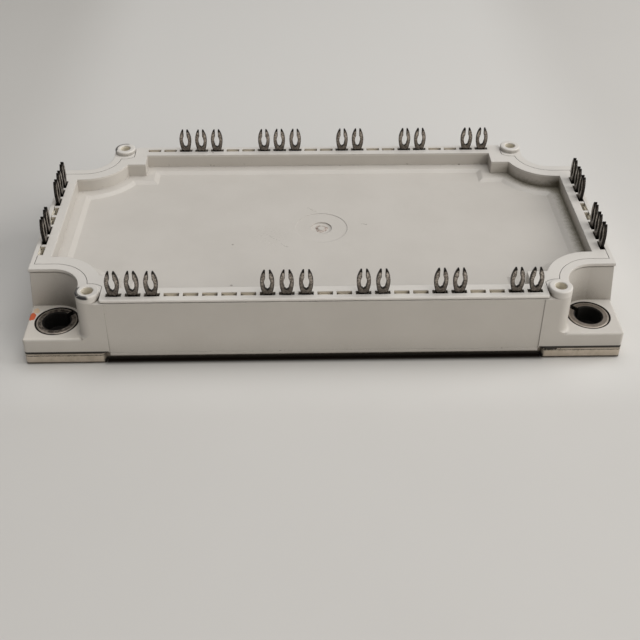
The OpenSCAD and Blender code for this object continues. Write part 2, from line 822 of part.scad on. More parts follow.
module chips(side_l, x) {
    for (place = [0 : 2], y = [-chip_y, chip_y])
        at_substrate(place) translate([x, y, circuit_z + chip_t / 2])
            cube([side_l, side_l, chip_t], center = true);
}

module igbt_chips() {
    color("#8d9197") chips(igbt_side, -chip_x);
}

module diode_chips() {
    color("#a2a6ab") chips(diode_side, chip_x);
}

// Temperature sensor on a pad of its own, between the signal pads of the middle substrate.
module thermistor() {
    color("#3c3f44") translate([0, -copper_y + pad_l / 2, circuit_z])
        linear_extrude(height = sensor_h) square([sensor_l, sensor_w], center = true);
}

// A bond wire: an upright half ring that starts at the origin and runs along y, with a leg
// down to the place where it ends.
module bond_wire(span, drop) {
    ring_r = span / 2;
    translate([0, ring_r, 0]) rotate([0, 0, 90]) rotate([90, 0, 0])
        rotate_extrude(angle = 180, $fn = 32) translate([ring_r, 0]) circle(r = wire_r, $fn = 16);
    translate([0, span, -drop]) cylinder(r = wire_r, h = drop, $fn = 16);
}

// From the foot of every pin to the copper beside it.
module pin_wires() {
    for (row = ROWS, slot = pin_slots(row)) {
        copper_edge = on_short_side(row) ? substrate_pitch + copper_x : copper_y;
        start = row[3] - bond_inset;
        span = row[2] - start - copper_edge + bond_inset;
        at_slot(row, slot) translate([0, start, foot_z]) bond_wire(span, foot_z - circuit_z);
    }
}

// From the top of every chip to the next copper, at the given shares of the chip's side.
module chip_wires(side_l, x, shares) {
    start = chip_y - side_l / 2 + 2 * bond_inset;
    for (place = [0 : 2], share = shares) at_substrate(place)
        translate([x + share * side_l, 0, circuit_z + chip_t]) rotate([0, 0, 180]) {
            translate([0, -start, 0]) bond_wire(start + pad_gap / 2 + bond_inset, chip_t);
            translate([0, 2 * chip_y - start, 0])
                bond_wire(main_y - return_w / 2 - 2 * chip_y + start, chip_t);
        }
}

module bond_wires() {
    color("#c9ccd0") {
        pin_wires();
        chip_wires(igbt_side, -chip_x, [-0.3, 0, 0.3]);
        chip_wires(diode_side, chip_x, [-0.25, 0.25]);
    }
}

// Gel that fills the frame to just above the bond wires.
module silicone_gel() {
    color("#dfe6ea", 0.4) difference() {
        union() {
            translate([0, 0, plate_t]) linear_extrude(height = ledge_h)
                rounded_rect(2 * cavity_x, 2 * cavity_y, corner_r);
            translate([0, 0, ledge_z]) linear_extrude(height = gel_z - ledge_z) cavity_plan();
        }
        for (place = [0 : 2]) {
            solder(place);
            back_copper(place);
            ceramic(place);
            circuit_copper(place);
        }
        igbt_chips();
        diode_chips();
        thermistor();
        bond_wires();
        each_pin() pin_shank($reach);
    }
}

// ---------------------------------------------------------------- assembly

base_plate();
housing();
lid();
for (corner = CORNERS)
    bush_at(corner);
for (row = ROWS, n = [0 : len(pin_slots(row)) - 1])
    at_slot(row, pin_slots(row)[n]) press_fit_pin(row[3]);
for (place = [0 : 2]) {
    solder(place);
    back_copper(place);
    ceramic(place);
    circuit_copper(place);
}
igbt_chips();
diode_chips();
thermistor();
bond_wires();
silicone_gel();
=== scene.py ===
"""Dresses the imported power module: moulded frame and lid, plated base plate, steel bushes,
fork-shaped press-fit pins and the power circuit under the lid, on a pale floor in soft light."""

import logging
import math
from dataclasses import dataclass, field
from enum import Enum
from functools import reduce
from typing import Any, Sequence

import bmesh
import bpy
from mathutils import Matrix, Vector


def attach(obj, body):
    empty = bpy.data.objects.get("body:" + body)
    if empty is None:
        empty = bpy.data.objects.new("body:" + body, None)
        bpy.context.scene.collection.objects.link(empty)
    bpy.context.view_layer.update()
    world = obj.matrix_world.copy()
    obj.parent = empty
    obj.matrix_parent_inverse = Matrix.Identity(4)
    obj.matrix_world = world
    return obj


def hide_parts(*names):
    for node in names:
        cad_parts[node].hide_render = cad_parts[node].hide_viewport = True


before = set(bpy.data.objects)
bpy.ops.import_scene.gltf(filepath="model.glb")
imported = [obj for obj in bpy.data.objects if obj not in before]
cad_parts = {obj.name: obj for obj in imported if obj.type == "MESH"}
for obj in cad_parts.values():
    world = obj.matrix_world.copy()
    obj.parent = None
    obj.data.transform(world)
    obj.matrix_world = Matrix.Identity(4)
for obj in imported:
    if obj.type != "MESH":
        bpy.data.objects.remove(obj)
log = logging.getLogger("module")

MM = 0.001
BODY = "root"
Colour = tuple[float, float, float]
Pair = tuple[float, float]
Value = Any
Node = bpy.types.Node
Socket = bpy.types.NodeSocket
Tree = bpy.types.NodeTree
Material = bpy.types.Material
Piece = bpy.types.Object


class Side(Enum):
    """A side of the module, with the turn about Z that its pins have."""

    FRONT = 0.0
    RIGHT = 90.0
    BACK = 180.0
    LEFT = -90.0


# Node helpers


class Graph:
    """Adds and wires the nodes of one tree."""

    def __init__(self, tree: Tree) -> None:
        """Keeps the tree that gets the nodes."""
        self.tree = tree

    def add(self, kind: str, **settings: Any) -> Node:
        """Adds a node.

        Args:
            kind: The node's type; "ShaderNode" may be left out.
            settings: Properties of the node.

        Returns:
            The new node.
        """
        whole = kind.startswith(("Node", "Geometry", "Function"))
        node = self.tree.nodes.new(kind if whole else "ShaderNode" + kind)
        for name, value in settings.items():
            setattr(node, name, value)
        return node

    def feed(self, socket: Socket, value: Value) -> None:
        """Wires a socket to another one, or sets its value.

        Args:
            socket: The input.
            value: An output socket, a number, a vector or a colour.
        """
        if isinstance(value, Socket):
            self.tree.links.new(value, socket)
        elif isinstance(value, tuple) and socket.type == "RGBA":
            socket.default_value = (*value, 1.0)
        else:
            socket.default_value = value

    def fill(self, node: Node, *values: Value, **named: Value) -> Node:
        """Feeds a node's inputs.

        Args:
            node: The node.
            values: Its first inputs, in order.
            named: Other inputs, with underscores for spaces.

        Returns:
            The same node.
        """
        for socket, value in zip(node.inputs, values):
            self.feed(socket, value)
        for name, value in named.items():
            self.feed(node.inputs[name.replace("_", " ")], value)
        return node

    def group(self, tree: Tree, **values: Value) -> Node:
        """Places a node group and feeds its inputs."""
        return self.fill(self.add("Group", node_tree=tree), **values)

    def math(self, operation: str, *values: Value, clamp: bool = False) -> Socket:
        """Adds a Math node; "clamp" keeps its result between 0 and 1."""
        node = self.add("Math", operation=operation, use_clamp=clamp)
        return self.fill(node, *values).outputs[0]

    def vector(self, operation: str, *values: Value) -> Socket:
        """Adds a Vector Math node, whose result is a number for a length or a product."""
        result = "Value" if operation in ("LENGTH", "DOT_PRODUCT") else "Vector"
        return self.fill(self.add("VectorMath", operation=operation), *values).outputs[result]

    def times(self, *values: Value) -> Value:
        """The product of some values."""
        return reduce(lambda first, second: self.math("MULTIPLY", first, second), values)

    def plus(self, *values: Value) -> Value:
        """The sum of some values."""
        return reduce(lambda first, second: self.math("ADD", first, second), values)

    def most(self, *values: Value) -> Value:
        """The largest of some values."""
        return reduce(lambda first, second: self.math("MAXIMUM", first, second), values)

    def rest(self, value: Value) -> Socket:
        """What a value lacks of 1."""
        return self.math("SUBTRACT", 1.0, value)

    def between(self, share: Value, off: float, on: float) -> Socket:
        """Runs straight from "off" where the share is 0 to "on" where it is 1."""
        return self.math("MULTIPLY_ADD", share, on - off, off)

    def step(self, value: Value, low: Value, high: Value) -> Socket:
        """Rises smoothly from 0 at "low" to 1 at "high"; "low" may be the larger one.

        Args:
            value: The value looked at.
            low: Where the result is 0.
            high: Where the result is 1.

        Returns:
            The result.
        """
        node = self.add("MapRange", interpolation_type="SMOOTHSTEP")
        flipped = not isinstance(low, Socket) and low > high
        first, last = (high, low) if flipped else (low, high)
        self.fill(node, Value=value, From_Min=first, From_Max=last,
                  To_Min=float(flipped), To_Max=float(not flipped))
        return node.outputs[0]

    def above(self, value: Value, limit: float, soft: float) -> Socket:
        """Is 1 from the limit on and falls to 0 over "soft" below it."""
        return self.step(value, limit - soft, limit)

    def below(self, value: Value, limit: float, soft: float) -> Socket:
        """Is 1 up to the limit and falls to 0 over "soft" above it."""
        return self.step(value, limit + soft, limit)

    def band(self, value: Value, low: float, high: float, soft: float) -> Socket:
        """Is 1 between "low" and "high" and falls to 0 over "soft" outside."""
        return self.times(self.above(value, low, soft), self.below(value, high, soft))

    def mix(self, share: Value, first: Value, second: Value) -> Socket:
        """Mixes two colours.

        Args:
            share: Share of the second.
            first: First colour.
            second: Second colour.

        Returns:
            The mixed colour.
        """
        node = self.add("Mix", data_type="RGBA", clamp_factor=True)
        self.feed(node.inputs[0], share)
        self.feed(node.inputs[6], first)
        self.feed(node.inputs[7], second)
        return node.outputs[2]

    def noise(self, place: Value, scale: Value, detail: float = 2.0,
              roughness: float = 0.5) -> Socket:
        """Adds smooth noise, mostly 0.2 to 0.8, with a scale in features for each millimetre."""
        return self.fill(self.add("TexNoise"), Vector=place, Scale=scale, Detail=detail,
                         Roughness=roughness).outputs[0]

    def sway(self, *settings: Value) -> Socket:
        """Noise that sways round 0, with the settings of noise()."""
        return self.math("SUBTRACT", self.noise(*settings), 0.5)

    def place(self) -> Socket:
        """The place on the object in millimetres."""
        coordinates = self.add("TexCoord").outputs["Object"]
        return self.vector("MULTIPLY", coordinates, (1 / MM, 1 / MM, 1 / MM))

    def normal(self, kind: str = "Normal") -> Socket:
        """The surface's direction: "Normal", or "True Normal" for that of the flat face."""
        return self.add("NewGeometry").outputs[kind]

    def parts(self, vector: Value) -> tuple[Socket, ...]:
        """The x, y and z of a vector."""
        return tuple(self.fill(self.add("SeparateXYZ"), vector).outputs)

    def folded(self, vector: Value) -> Socket:
        """A vector with its parts made positive, so that all four corners are one."""
        return self.vector("ABSOLUTE", vector)

    def away(self, place: Value, centre: Pair) -> Socket:
        """A place as seen from an upright axis."""
        return self.vector("SUBTRACT", place, (*centre, 0.0))

    def radius(self, place: Value, centre: Pair, size: Pair = (1.0, 1.0)) -> Socket:
        """Distance from an upright axis, in millimetres or in an oval's half widths."""
        flat = self.vector("MULTIPLY", self.away(place, centre), (1 / size[0], 1 / size[1], 0.0))
        return self.vector("LENGTH", flat)


def new_group(name: str, inputs: dict[str, Value], outputs: dict[str, str],
              family: str = "Shader") -> tuple[Tree, Graph, Any, Any]:
    """Starts a node group.

    Args:
        name: Its name.
        inputs: Each input with its kind, or with its usual value: a number or a vector.
        outputs: Each output with its kind.
        family: Shader or Geometry.

    Returns:
        The tree, its graph, its inputs' sockets and its outputs' sockets.
    """
    tree = bpy.data.node_groups.new(name, family + "NodeTree")
    for label, value in inputs.items():
        kind = "Vector" if isinstance(value, tuple) else "Float"
        if isinstance(value, str):
            kind = value
        socket = tree.interface.new_socket(label, in_out="INPUT", socket_type="NodeSocket" + kind)
        if kind != value:
            socket.default_value = value
    for label, kind in outputs.items():
        tree.interface.new_socket(label, in_out="OUTPUT", socket_type="NodeSocket" + kind)
    graph = Graph(tree)
    return tree, graph, graph.add("NodeGroupInput").outputs, graph.add("NodeGroupOutput").inputs


class Effects:
    """The node groups that more than one finish uses, each built once."""

    origin = (0.0, 0.0, 0.0)
    bevel_samples = 6
    shade_samples = 8
    speck_sharpness = 80.0

    def __init__(self) -> None:
        """Builds the groups."""
        self.grain = self._grain()
        self.edges = self._edges()
        self.dirt_and_shade = self._dirt_and_shade()
        self.specks = self._specks()

    def _grain(self) -> Tree:
        """Fine and coarse unevenness of a moulded or stamped surface.

        Returns:
            The group.
        """
        tree, g, given, gives = new_group(
            "surface_grain", {"Place": self.origin, "Fine": 6.0, "Coarse": 0.15},
            {"Height": "Float", "Mottle": "Float"})
        broad = g.noise(given["Place"], given["Coarse"], 4.0, 0.6)
        g.feed(gives["Height"], g.noise(given["Place"], given["Fine"], 3.0))
        g.feed(gives["Mottle"], g.step(broad, 0.3, 0.7))
        return tree

    def _edges(self) -> Tree:
        """Softened edges, and a mask of where the surface bends.

        Returns:
            The group.
        """
        tree, g, given, gives = new_group(
            "soft_edges", {"Radius": 0.2 * MM}, {"Normal": "Vector", "Edge": "Float"})
        bevel = g.fill(g.add("Bevel", samples=self.bevel_samples), Radius=given["Radius"])
        agree = g.vector("DOT_PRODUCT", bevel.outputs[0], g.normal("True Normal"))
        g.feed(gives["Normal"], bevel.outputs[0])
        g.feed(gives["Edge"], g.step(agree, 0.995, 0.8))
        return tree

    def _dirt_and_shade(self) -> Tree:
        """Occlusion mask of crevices, broken up by noise, for dirt and for painted shade.

        Returns:
            The group.
        """
        tree, g, given, gives = new_group(
            "crevice_dirt_and_shade", {"Place": self.origin, "Reach": 0.6 * MM, "Start": 0.75,
                              "Full": 0.25, "Breaks": 0.5}, {"Mask": "Float"})
        shut = g.add("AmbientOcclusion", samples=self.shade_samples, only_local=False)
        g.fill(shut, Distance=given["Reach"])
        breaks = g.times(g.sway(given["Place"], 1.3, 3.0), given["Breaks"])
        openness = g.plus(shut.outputs["AO"], breaks)
        g.feed(gives["Mask"], g.rest(g.step(openness, given["Full"], given["Start"])))
        return tree

    def _specks(self) -> Tree:
        """Scattered small dots of uneven size.

        Returns:
            The group.
        """
        tree, g, given, gives = new_group(
            "specks", {"Place": self.origin, "Each mm": 0.2, "Size": 0.07}, {"Mask": "Float"})
        cells = g.fill(g.add("TexVoronoi", feature="F1"), Vector=given["Place"],
                       Scale=given["Each mm"])
        pick = g.step(g.parts(cells.outputs["Color"])[0], 0.55, 1.0)
        near = g.math("SUBTRACT", g.times(given["Size"], pick), cells.outputs["Distance"])
        g.feed(gives["Mask"], g.math("MULTIPLY", near, self.speck_sharpness, clamp=True))
        return tree


@dataclass(frozen=True)
class Nook:
    """A kind of crevice: how far around a place is looked at, how open the place is where its mask
    starts and where it is full, and how far noise breaks it up. Some give dirt, some painted
    shade."""

    reach: float
    start: float
    full: float
    breaks: float = 0.5


@dataclass(frozen=True)
class Smudge:
    """A mark on a face: its middle, its half widths, its strength and its colour."""

    centre: Pair
    size: Pair
    share: float
    tone: Colour


@dataclass(frozen=True)
class Scratch:
    """A scratch: its middle, its turn in degrees and its length."""

    centre: Pair
    turn: float
    length: float


class Coat(Graph):
    """A material in the making, with its grain, its softened normal and its colour so far."""

    def __init__(self, name: str, effects: Effects, fine: float, coarse: float) -> None:
        """Starts the material.

        Args:
            name: Its name.
            effects: The shared node groups.
            fine: Features of the grain for each millimetre.
            coarse: Features of the mottle for each millimetre.
        """
        self.material = bpy.data.materials.new(name)
        self.material.use_nodes = True
        super().__init__(self.material.node_tree)
        self.effects = effects
        self.here = self.place()
        grain = self.group(effects.grain, Place=self.here, Fine=fine, Coarse=coarse)
        self.height = grain.outputs["Height"]
        self.mottle = grain.outputs["Mottle"]
        self.soft: Value = None
        self.colour: Value = None

    def edges(self, radius: float) -> Socket:
        """Softens the edges.

        Args:
            radius: How wide, in metres.

        Returns:
            The mask of the edges.
        """
        node = self.group(self.effects.edges, Radius=radius)
        self.soft = node.outputs["Normal"]
        return node.outputs["Edge"]

    def dirt_and_shade(self, nook: Nook) -> Socket:
        """The occlusion mask of one kind of crevice, for dirt and for painted shade."""
        return self.group(self.effects.dirt_and_shade, Place=self.here, Reach=nook.reach, Start=nook.start,
                          Full=nook.full, Breaks=nook.breaks).outputs[0]

    def dots(self, each_mm: float, size: float) -> Socket:
        """The mask of scattered specks."""
        return self.group(self.effects.specks, Place=self.here, Each_mm=each_mm,
                          Size=size).outputs[0]

    def tint(self, tone: Colour, *shares: Value) -> None:
        """Mixes a tone into the colour by the product of some shares."""
        self.colour = self.mix(self.times(*shares), self.colour, tone)

    def done(self, relief: Value, strength: float, depth: float = 0.03 * MM,
             **values: Value) -> Material:
        """Wires the shader.

        Args:
            relief: Height of the bumps.
            strength: Share of the bumps that shows.
            depth: Height of a full step, in metres.
            values: The shader's other inputs, with underscores for spaces.

        Returns:
            The material.
        """
        bumps = self.fill(self.add("Bump"), Strength=strength, Distance=depth, Height=relief)
        if self.soft is not None:
            self.fill(bumps, Normal=self.soft)
        self.fill(self.tree.nodes["Principled BSDF"], Base_Color=self.colour,
                  Normal=bumps.outputs[0], **values)
        return self.material


# Finishes


@dataclass(frozen=True)
class Moulding:
    """Off-white moulded plastic with a fine matt grain."""

    name: str
    colour: Colour = (0.54, 0.512, 0.475)
    shade: Colour = (0.515, 0.487, 0.45)
    # Painted highlight tone for the topmost faces.
    top_highlight: Colour = (0.66, 0.635, 0.60)
    hollow_light: Colour = (0.58, 0.53, 0.45)
    dirt: Colour = (0.10, 0.085, 0.06)
    # Painted shadow tone for filled slots and deep notches.
    depth: Colour = (0.055, 0.042, 0.024)
    # Painted shade tone for corners and recesses.
    corner: Colour = (0.30, 0.25, 0.185)
    speck: Colour = (0.13, 0.11, 0.09)
    grain: Pair = (5.0, 0.09)
    edge_r: float = 0.22 * MM
    gloss: Pair = (0.34, 0.50)
    specular: float = 0.4
    relief: float = 0.25
    swell: float = 2.0
    crest_z: float = 15.6
    rows: Pair = (28.9, 59.05)
    row_ends: Pair = (46.0, 19.5)
    slot_half: float = 0.62
    slot_depth: float = 5.5
    wall_tilt: Pair = (0.95, 0.3)
    slot_shadow_nook: Nook = Nook(0.9 * MM, 0.54, 0.30, 0.0)
    corner_shade_nook: Nook = Nook(7 * MM, 0.62, 0.08, 0.15)
    deep_shade_nook: Nook = Nook(14 * MM, 0.74, 0.16, 0.06)
    fine_nook: Nook = Nook(0.9 * MM, 0.60, 0.12)
    crumb_nook: Nook = Nook(1.6 * MM, 0.80, 0.45)
    cloud_share: float = 0.2
    top_highlight_share: float = 0.6
    hollow_light_share: float = 0.9
    slot_shadow_share: float = 0.97
    corner_shade_share: float = 0.15
    deep_shade_share: float = 0.0
    fine_share: float = 0.5
    speck_share: float = 0.55
    crumb_share: float = 0.7

    def base(self, effects: Effects) -> Coat:
        """Builds what the frame and the lid share.

        Args:
            effects: The shared node groups.

        Returns:
            The material in the making.
        """
        g = Coat(self.name, effects, *self.grain)
        g.edges(self.edge_r)
        g.colour = g.mix(g.mottle, self.colour, self.shade)
        g.tint(self.shade, g.step(g.noise(g.here, 0.035, 2.0), 0.35, 0.65), self.cloud_share)
        # Painted highlight: the topmost faces (bar tops, rim and domes) are made lighter.
        g.tint(self.top_highlight, g.above(g.parts(g.here)[2], self.crest_z, 0.2), self.top_highlight_share)
        spared = self.spared(g)
        # Painted light: the inside of bores and slots gets a lighter, warmer tone.
        g.tint(self.hollow_light, spared, self.hollow_light_share)
        # Painted shadow: slots that hold a pin are darkened where the pin closes them in.
        g.tint(self.depth, g.dirt_and_shade(self.slot_shadow_nook), self.slots(g), self.slot_shadow_share)
        kept = g.rest(spared)
        walls = g.times(kept, g.step(g.parts(g.normal())[2], *self.wall_tilt))
        # Painted shade: upright walls darken where the occlusion over 7 mm is strong, as in
        # corners and notches.
        g.tint(self.corner, g.dirt_and_shade(self.corner_shade_nook), walls, self.corner_shade_share)
        # Painted shadow: walls deep in the notches are darkened by a wide occlusion mask.
        g.tint(self.depth, g.dirt_and_shade(self.deep_shade_nook), walls, self.deep_shade_share)
        patches = g.step(g.noise(g.here, 0.11), 0.42, 0.62)
        g.tint(self.dirt, g.dirt_and_shade(self.fine_nook), kept, patches, self.fine_share)
        g.tint(self.speck, g.dots(0.16, 0.055), self.speck_share)
        g.tint(self.dirt, g.dots(1.1, 0.30), g.dirt_and_shade(self.crumb_nook), kept, self.crumb_share)
        return g

    def close(self, g: Coat) -> Material:
        """Gives the frame or the lid its relief and gloss.

        Args:
            g: The material in the making.

        Returns:
            The material.
        """
        relief = g.plus(g.height, g.times(g.noise(g.here, 0.5, 2.0), self.swell))
        return g.done(relief, self.relief, Specular_IOR_Level=self.specular,
                      Roughness=g.between(g.noise(g.here, 0.3, 3.0), *self.gloss))

    def spared(self, g: Coat) -> Value:
        """Hollows that get painted light and are kept free of dirt and of painted corner shade:
        the slots, unless a moulding has more such places.
        """
        return self.slots(g)

    def slots(self, g: Coat) -> Value:
        """Inside of the pin rows' slots.

        Args:
            g: The material in the making.

        Returns:
            The mask.
        """
        across, along, z = g.parts(g.folded(g.here))
        long_row, short_row = (
            g.times(g.band(over, row - self.slot_half, row + self.slot_half, 0.1),
                    g.below(beside, end, 0.1))
            for over, beside, row, end in zip((along, across), (across, along),
                                              self.rows, self.row_ends))
        inside = g.band(z, self.crest_z - self.slot_depth, self.crest_z + 0.3, 0.05)
        return g.times(g.most(long_row, short_row), inside)


@dataclass(frozen=True)
class FrameMoulding(Moulding):
    """The frame's plastic, with a paint mark on one ear and worn domes on the left."""

    corner_shade_share: float = 0.4
    deep_shade_share: float = 0.9
    # Painted light in the domes' deep bores: a pale cream.
    hollow_light: Colour = (0.84, 0.79, 0.68)
    scuff: Colour = (0.055, 0.052, 0.05)
    outline: Colour = (0.008, 0.008, 0.009)
    # Painted shadow tone for the gaps at the plate and round the bushes.
    gap_shadow: Colour = (0.008, 0.005, 0.003)
    # Painted light tone for the tops of the left ears.
    left_ear_light: Colour = (0.68, 0.635, 0.57)
    left_ear_light_share: float = 0.75
    gap_shadow_share: float = 0.97
    scuff_share: float = 0.9
    seat_z: float = 3.0
    skirt: Pair = (43.8, 29.5)
    dome: Pair = (47.05, 28.6)
    dome_z: float = 17.0
    dome_rim: Pair = (1.88, 2.6)
    bore_r: float = 1.45
    bush: Pair = (55.0, 25.0)
    relief_r: float = 4.5
    relief_z: float = 5.4
    ear_z: float = 6.5
    marks: tuple[Smudge, ...] = (
        Smudge((-60.35, -23.5), (0.75, 1.25), 1.0, (0.58, 0.105, 0.03)),
        Smudge((-59.8, -21.6), (0.6, 0.95), 0.5, (0.72, 0.42, 0.17)))
    worn_domes: tuple[tuple[float, float, float], ...] = (
        (-47.05, -28.6, -0.6), (-47.05, 28.6, 0.9))

    def spared(self, g: Coat) -> Value:
        """The domes' bores and the slots, which get painted light and are kept free of dirt and of
        painted corner shade.
        """
        bores = g.times(g.below(g.radius(g.folded(g.here), self.dome), self.bore_r, 0.1),
                        g.below(g.parts(g.here)[2], self.dome_z - 0.3, 0.3))
        return g.most(bores, super().spared(g))

    def _gap_shadows(self, g: Coat) -> Value:
        """Painted black shadow where the frame meets the plate and in the gap round the bushes.

        Args:
            g: The material in the making.

        Returns:
            The mask.
        """
        folded = g.folded(g.here)
        across, along, z = g.parts(folded)
        over = g.times(g.below(across, self.skirt[0], 0.2), g.above(along, self.skirt[1], 0.3))
        seat = g.times(g.below(z, self.seat_z + 0.22, 0.12), g.rest(over))
        ring = g.times(g.below(g.radius(folded, self.bush), self.relief_r, 0.1),
                       g.above(z, self.relief_z, 0.4))
        return g.most(ring, seat)

    def build(self, effects: Effects) -> Material:
        """Builds the material.

        Args:
            effects: The shared node groups.

        Returns:
            The material.
        """
        g = self.base(effects)
        x, _, z = g.parts(g.here)
        ears = g.times(g.band(z, self.ear_z - 0.2, self.ear_z + 0.2, 0.3),
                       g.step(g.parts(g.normal())[2], 0.6, 0.95))
        # Painted light: the tops of the left ears are made lighter.
        g.tint(self.left_ear_light, ears, g.step(x, 20.0, -20.0), self.left_ear_light_share)
        # Painted shadow in the gaps at the plate and round the bushes.
        g.tint(self.gap_shadow, self._gap_shadows(g), self.gap_shadow_share)
        ragged = g.noise(g.here, 1.6, 3.0, 0.7)
        on_ear = g.band(z, self.ear_z - 0.35, self.ear_z + 0.3, 0.1)
        for mark in self.marks:
            reach = g.plus(g.radius(g.here, mark.centre, mark.size), g.times(ragged, 1.1))
            g.tint(mark.tone, g.step(reach, 1.62, 1.45), on_ear, mark.share)
        for x, y, turn in self.worn_domes:
            reach = g.radius(g.here, (x, y))
            away_x, away_y, _ = g.parts(g.away(g.here, (x, y)))
            toward = g.math("SUBTRACT", g.times(away_y, turn), away_x)
            worn = g.times(g.band(reach, *self.dome_rim, 0.12), g.step(toward, 0.6, 1.4),
                           g.above(z, self.dome_z - 0.4, 0.3), g.step(ragged, 0.28, 0.42))
            g.tint(self.scuff, worn, self.scuff_share)
            g.tint(self.outline, worn, g.step(reach, 2.08, 2.2), self.scuff_share)
        return self.close(g)


@dataclass(frozen=True)
class LidMoulding(Moulding):
    """The lid's plastic, with scratches beside the moulding mark."""

    scratch: Colour = (0.22, 0.20, 0.17)
    soil: Colour = (0.115, 0.10, 0.062)
    scraped: Colour = (0.70, 0.68, 0.645)
    soil_nook: Nook = Nook(3.4 * MM, 0.92, 0.50, 0.3)
    soil_share: float = 0.85
    soil_from: Pair = (38.0, 50.0)
    floor_z: float = 12.3
    scuff_at: Pair = (-11.0, -3.2)
    scuff_size: Pair = (6.0, 6.5)
    scratch_share: float = 0.9
    scratches: tuple[Scratch, ...] = (
        Scratch((-11.2, -3.6), -40.0, 5.2), Scratch((-2.0, 7.4), -44.0, 3.0),
        Scratch((9.6, 1.2), -15.0, 1.8), Scratch((-8.2, -6.8), -48.0, 2.4))

    def build(self, effects: Effects) -> Material:
        """Builds the material.

        Args:
            effects: The shared node groups.

        Returns:
            The material.
        """
        g = self.base(effects)
        x, _, z = g.parts(g.here)
        g.tint(self.soil, g.dirt_and_shade(self.soil_nook), g.step(x, *self.soil_from),
               g.below(z, self.crest_z - 1.5, 1.5), self.soil_share)
        on_floor = g.band(z, self.floor_z - 0.4, self.floor_z + 0.3, 0.1)
        fine = g.noise(g.vector("MULTIPLY", g.here, (1.0, 2.2, 1.0)), 2.2, 4.0, 0.75)
        reach = g.radius(g.here, self.scuff_at, self.scuff_size)
        rough = g.times(g.step(reach, 1.0, 0.3), on_floor)
        g.tint(self.scratch, rough, g.step(fine, 0.585, 0.66), 0.5)
        g.tint(self.scraped, rough, g.step(fine, 0.42, 0.34), 0.55)
        wander = g.times(g.sway(g.here, 0.9, 2.0), 1.6)
        broken = g.step(g.noise(g.here, 2.6, 3.0, 0.7), 0.46, 0.6)
        for scratch in self.scratches:
            turned = g.fill(g.add("VectorRotate", rotation_type="Z_AXIS"),
                            g.away(g.here, scratch.centre), Angle=math.radians(-scratch.turn))
            along, across, _ = g.parts(turned.outputs[0])
            line = g.step(g.math("ABSOLUTE", g.plus(across, wander)), 0.17, 0.04)
            ends = g.step(g.math("ABSOLUTE", along), scratch.length / 2, scratch.length / 3)
            g.tint(self.scratch, line, ends, broken, on_floor, self.scratch_share)
        return self.close(g)


@dataclass(frozen=True)
class PlateFinish:
    """Nickel plating over copper, satin, with a ragged dark upper edge and painted shadow in its
    gaps, bores and recess and along the floor.
    """

    name: str = "nickel_plate"
    colour: Colour = (0.54, 0.475, 0.40)
    shade: Colour = (0.44, 0.385, 0.315)
    # Near black, for specks and chips and for the painted shadows.
    chip: Colour = (0.012, 0.009, 0.006)
    grain: Pair = (4.0, 0.4)
    edge_r: float = 0.24 * MM
    metallic: Pair = (0.85, 0.25)
    gloss: Pair = (0.40, 0.54)
    relief: float = 0.4
    top_z: float = 3.0
    chipped_x: float = 44.8
    bore: Pair = (55.0, 25.0)
    bore_r: float = 2.85
    recess: Pair = (45.55, 30.75)
    speck_share: float = 0.6
    line_share: float = 0.8
    contact_shadow_share: float = 0.9
    rim_share: float = 0.8
    upper_share: float = 0.18

    def build(self, effects: Effects) -> Material:
        """Builds the material.

        Args:
            effects: The shared node groups.

        Returns:
            The material.
        """
        g = Coat(self.name, effects, *self.grain)
        rims = g.edges(self.edge_r)
        x, _, z = g.parts(g.here)
        folded = g.folded(g.here)
        across, along, _ = g.parts(folded)
        g.colour = g.mix(g.mottle, self.colour, self.shade)
        g.tint(self.chip, g.dots(0.30, 0.12), self.speck_share)
        ragged = g.sway(g.here, 2.1, 4.0, 0.75)
        height, torn, calm = (g.plus(z, g.times(ragged, much)) for much in (0.6, 1.7, 0.12))
        line = g.band(height, self.top_z - 0.86, self.top_z - 0.74, 0.08)
        upper = g.above(height, self.top_z - 0.7, 0.15)
        off = g.math("ABSOLUTE", g.math("SUBTRACT", x, self.chipped_x))
        chips = g.above(g.plus(torn, g.times(g.step(off, 6.5, 1.0), 0.85)),
                        self.top_z + 0.16, 0.11)
        # Painted shadow: the top strip of the plate, in the gap under the frame's ears.
        joint_shadow = g.above(calm, self.top_z - 0.28, 0.12)
        upright = g.step(g.math("ABSOLUTE", g.parts(g.normal())[2]), 0.95, 0.7)
        # Painted shadow: the bottom strip of upright faces, where they meet the floor.
        contact_shadow = g.times(g.below(calm, 0.48, 0.2), upright, self.contact_shadow_share)
        sunk = g.between(g.step(height, 1.5, 0.8), 0.55, 1.0)
        # Painted shadow: the recessed edge under the frame's skirt.
        recess_shadow = g.times(g.below(along, self.recess[1], 0.15), g.below(across, self.recess[0], 0.2),
                      sunk, upright)
        # Painted shadow inside the bolt holes.
        inside = g.below(g.radius(folded, self.bore), self.bore_r, 0.1)
        # One dark mask from the burr line, chips, darkened edges and upper band, and the painted
        # shadows.
        dark = g.most(g.times(line, self.line_share), chips, joint_shadow, contact_shadow, inside,
                      g.times(rims, self.rim_share), recess_shadow, g.times(upper, self.upper_share))
        g.tint(self.chip, dark)
        relief = g.math("SUBTRACT", g.height, g.times(dark, 1.2))
        return g.done(relief, self.relief, Metallic=g.between(dark, *self.metallic),
                      Roughness=g.between(g.mottle, *self.gloss))


